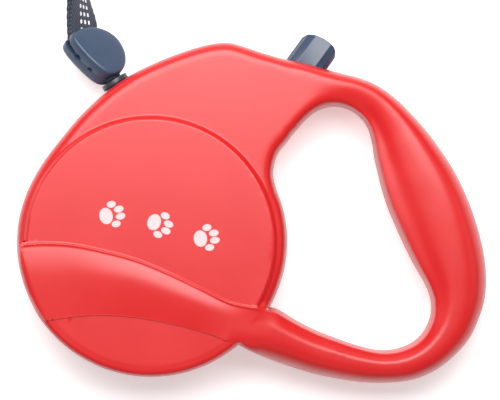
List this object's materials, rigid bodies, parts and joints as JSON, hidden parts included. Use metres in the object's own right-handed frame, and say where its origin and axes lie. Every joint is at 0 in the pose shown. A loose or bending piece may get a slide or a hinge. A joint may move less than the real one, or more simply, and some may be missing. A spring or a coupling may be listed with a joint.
{
  "type": "retractable leash",
  "caption": "Retractable pet leash: round reel housing with a closed grip loop, thumb brake button, cord nozzle, stopper block, woven lead strap and swivel bolt snap.",
  "frame": {"origin": "the reel axis on the plane that the rear panel rests on", "axes": "+X from the reel axis towards the grip, +Y towards the edge with the thumb button, +Z from the rear shell to the front shell"},
  "size_m": [0.1638, 0.1878, 0.0334],
  "materials": {
    "red_plastic": "satin",
    "screw_steel": "zinc plated",
    "bush_plastic": "satin",
    "axle_steel": "turned",
    "reel_plastic": "matte",
    "spring_steel": "blued",
    "cord": "braided",
    "button_plastic": "satin",
    "slider_steel": "stamped",
    "bumper_rubber": "matte",
    "block_plastic": "satin",
    "webbing": "woven",
    "chrome": "polished"
  },
  "bodies": {
    "housing": {"front_shell": "red_plastic", "rear_shell": "red_plastic", "housing_screws": "screw_steel", "nozzle_ring": "bush_plastic", "reel_axle": "axle_steel", "cord_lead": "cord", "brake_spring": "spring_steel"},
    "reel": {"reel_drum": "reel_plastic", "reel_flange": "reel_plastic", "spring_cover": "reel_plastic", "power_spring": "spring_steel", "cord_winding": "cord"},
    "brake": {"brake_button": "button_plastic", "brake_slider": "slider_steel"},
    "lead": {"stopper_bumper": "bumper_rubber", "stopper_front": "block_plastic", "stopper_back": "block_plastic", "stopper_pin": "axle_steel", "cord_knot": "cord", "strap": "webbing", "strap_loop": "webbing", "swivel_eye": "chrome"},
    "hook": {"hook_body": "chrome", "hook_spring": "spring_steel"},
    "bolt": {"hook_bolt": "chrome", "hook_knob": "chrome"}
  },
  "joints": [
    {"name": "cord_pull", "type": "slide", "parent": "housing", "child": "lead", "axis": [-0.5299, 0.848, 0], "range_m": [0, 2.9], "stiffness_N_per_m": 1.5, "springref_m": -1, "deforming": ["cord_lead"]},
    {"name": "reel_spin", "type": "hinge", "parent": "housing", "child": "reel", "pos_m": [0, 0, 0.016], "axis": [0, 0, 1], "range_deg": [-1, 6301]},
    {"name": "brake_press", "type": "slide", "parent": "housing", "child": "brake", "axis": [-0.5878, -0.809, 0], "range_m": [0, 0.004], "stiffness_N_per_m": 1200, "springref_m": -0.002, "deforming": ["brake_spring"]},
    {"name": "hook_swivel", "type": "hinge", "parent": "lead", "child": "hook", "pos_m": [0.053, 0.1295, 0.0043], "axis": [1, 0, 0], "continuous": true},
    {"name": "bolt_slide", "type": "slide", "parent": "hook", "child": "bolt", "axis": [-1, 0, 0], "range_m": [0, 0.008], "stiffness_N_per_m": 500, "springref_m": -0.003, "deforming": ["hook_spring"]}
  ],
  "couplings": [
    {"joint": "reel_spin", "follows": "cord_pull", "rad_per_m": 37.916}
  ]
}
